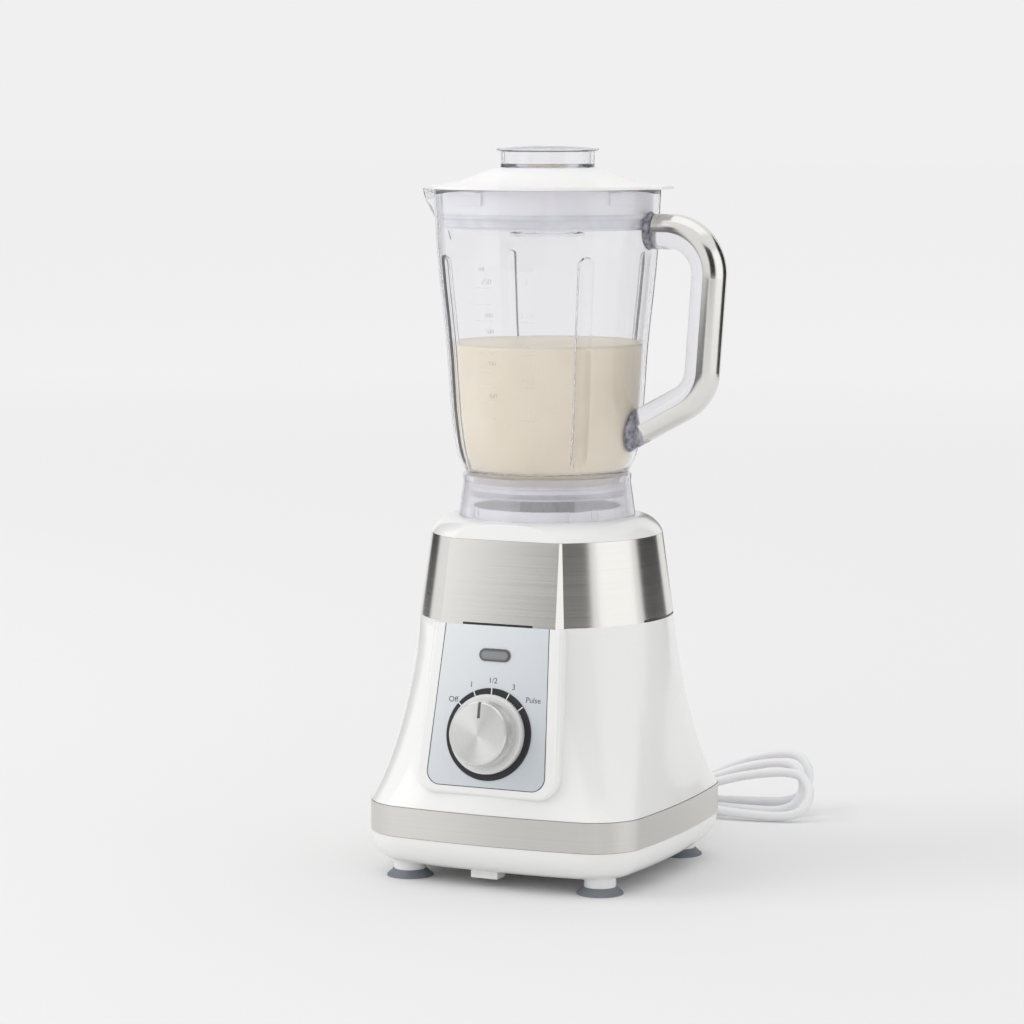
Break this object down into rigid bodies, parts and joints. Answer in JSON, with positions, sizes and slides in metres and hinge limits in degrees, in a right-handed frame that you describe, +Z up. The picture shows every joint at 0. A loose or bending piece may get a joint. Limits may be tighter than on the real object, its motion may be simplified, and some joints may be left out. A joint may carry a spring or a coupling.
{
  "type": "countertop blender",
  "caption": "Countertop blender: motor base with a dial, lift-off clear jug on a blade collar, lid with measuring cap, and power cord.",
  "frame": {"origin": "middle of the base on the surface that the suction feet stand on", "axes": "+Z up along the motor and jug axis; -Y is the front with the dial, +X the jug's handle, -X its spout"},
  "size_m": [0.241, 0.3163, 0.4071],
  "materials": {
    "white_plastic": "glossy warm white moulded plastic",
    "brushed_steel": "stainless steel brushed around the base",
    "satin_trim": "satin warm grey metal",
    "silver_panel": "pale silver lacquered panel",
    "black_plastic": "black moulded plastic",
    "smoked_lens": "grey lamp lens",
    "spun_aluminium": "spun face, satin side",
    "clear_plastic": "clear moulded plastic with violet edges",
    "lid_plastic": "satin white moulded plastic",
    "white_seal": "milky silicone",
    "foot_rubber": "grey suction rubber",
    "black_rubber": "black rubber",
    "steel": "bright steel",
    "zinc": "zinc plated",
    "laminations": "laminated electrical steel",
    "copper": "enamelled copper windings",
    "bronze": "sintered bronze",
    "carbon": "carbon",
    "die_cast": "die cast",
    "board": "circuit board",
    "cord_white": "white PVC sheath",
    "brass_pins": "nickelled brass pins"
  },
  "bodies": {
    "base": {"body_shell": "white_plastic", "steel_band": "brushed_steel", "trim_ring": "satin_trim", "top_deck": "white_plastic", "bottom_cover": "white_plastic", "suction_feet": "foot_rubber", "cover_screws": "zinc", "control_panel": "silver_panel", "dial_ring": "black_plastic", "pilot_lens": "smoked_lens", "lamp_board": "board", "rotary_switch": "black_plastic", "stator": "laminations", "field_coils": "copper", "motor_bracket_top": "die_cast", "motor_bracket_bottom": "die_cast", "upper_bearing": "steel", "lower_bearing": "steel", "through_bolts": "zinc", "rubber_mounts": "black_rubber", "mount_screws": "zinc", "brush_holders": "black_plastic", "carbon_brushes": "carbon", "cord_bushing": "cord_white", "cord_lead": "cord_white", "cord_hank": "cord_white", "cord_tie": "cord_white", "cord_tail": "cord_white", "plug_body": "cord_white", "plug_pins": "brass_pins"},
    "knob": {"switch_shaft": "steel", "knob_skirt": "spun_aluminium", "knob_cap": "spun_aluminium"},
    "rotor": {"motor_shaft": "steel", "armature": "laminations", "armature_windings": "copper", "commutator": "copper", "cooling_fan": "black_plastic", "drive_coupler": "black_plastic"},
    "blade_unit": {"blade_collar": "clear_plastic", "jug_gasket": "white_seal", "bearing_housing": "black_plastic", "blade_bush": "bronze", "shaft_seal": "black_rubber"},
    "blades": {"blade_shaft": "steel", "lower_blade": "steel", "upper_blade": "steel", "blade_nut": "steel", "driven_coupler": "black_plastic"},
    "jug": {"jug": "clear_plastic", "handle_core": "clear_plastic", "handle_cladding": "brushed_steel"},
    "lid": {"lid": "lid_plastic", "lid_seal": "white_seal"},
    "cap": {"measuring_cap": "clear_plastic"}
  },
  "joints": [
    {"name": "rotor_spin", "type": "hinge", "parent": "base", "child": "rotor", "pos_m": [0, 0, 0.12], "axis": [0, 0, 1], "continuous": true},
    {"name": "knob_turn", "type": "hinge", "parent": "base", "child": "knob", "pos_m": [0, -0.07776, 0.087], "axis": [0, -0.9815, 0.1914], "range_deg": [-50, 50]},
    {"name": "jug_lift", "type": "slide", "parent": "base", "child": "blade_unit", "axis": [0, 0, 1], "range_m": [0, 0.08]},
    {"name": "blade_spin", "type": "hinge", "parent": "blade_unit", "child": "blades", "pos_m": [0, 0, 0.22], "axis": [0, 0, 1], "continuous": true},
    {"name": "jug_unscrew", "type": "slide", "parent": "blade_unit", "child": "jug", "axis": [0, 0, 1], "range_m": [0, 0.06]},
    {"name": "lid_lift", "type": "slide", "parent": "jug", "child": "lid", "axis": [0, 0, 1], "range_m": [0, 0.06]},
    {"name": "cap_lift", "type": "slide", "parent": "lid", "child": "cap", "axis": [0, 0, 1], "range_m": [0, 0.06]}
  ],
  "couplings": [
    {"joint": "blade_spin", "follows": "rotor_spin", "ratio": 1}
  ]
}
